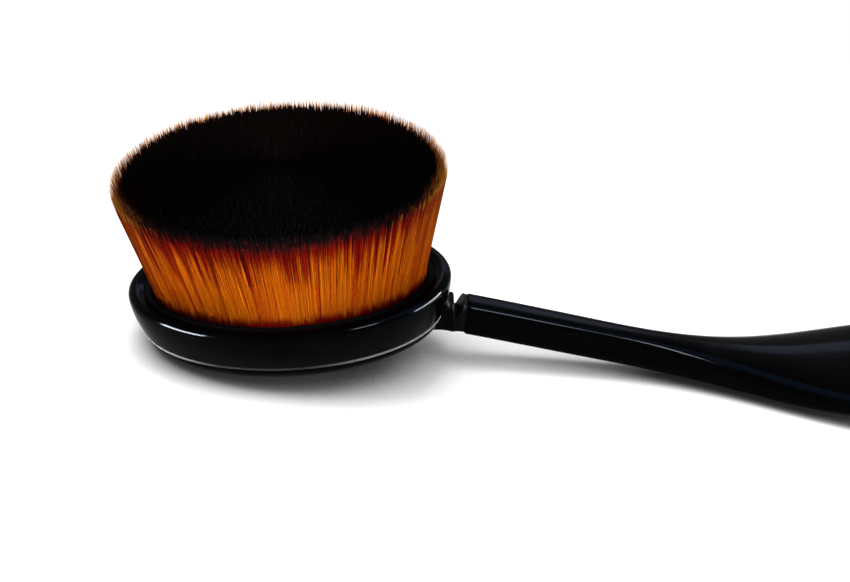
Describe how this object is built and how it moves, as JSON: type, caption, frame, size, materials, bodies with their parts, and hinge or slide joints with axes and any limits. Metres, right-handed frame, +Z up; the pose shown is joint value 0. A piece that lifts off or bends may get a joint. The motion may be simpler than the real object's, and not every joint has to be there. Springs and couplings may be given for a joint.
{
  "type": "oval cosmetic brush",
  "caption": "Oval soft-fibre skin brush: a dense flared tuft in a glossy oval dish, on a curved paddle handle with a sprung flexible neck.",
  "frame": {"origin": "middle of the flat land on the back cover that the brush rests on, at the table", "axes": "+X from the head along the handle, +Z up through the fibres, +Y across to the left as seen from the handle's tail"},
  "size_m": [0.1725, 0.0494, 0.0417],
  "materials": {
    "gloss_black": "high gloss black, lightly scuffed",
    "satin_black": "satin moulded",
    "resin": "dark amber cast resin",
    "fibre": "amber synthetic fibre with black tips",
    "elastomer": "satin black flexible plastic"
  },
  "bodies": {
    "handle": {"handle_top_shell": "gloss_black", "handle_bottom_shell": "gloss_black", "neck_spine": "elastomer"},
    "head": {"head_dish": "gloss_black", "back_cover": "gloss_black", "tuft_tray": "satin_black", "resin_bed": "resin", "fibre_tuft": "fibre"}
  },
  "joints": [
    {"name": "neck_flex", "type": "hinge", "parent": "handle", "child": "head", "pos_m": [0.04539, 0, 0.00865], "axis": [0, 1, 0], "range_deg": [-14, 14], "stiffness_Nm_per_rad": 0.6, "deforming": ["neck_spine"]}
  ]
}
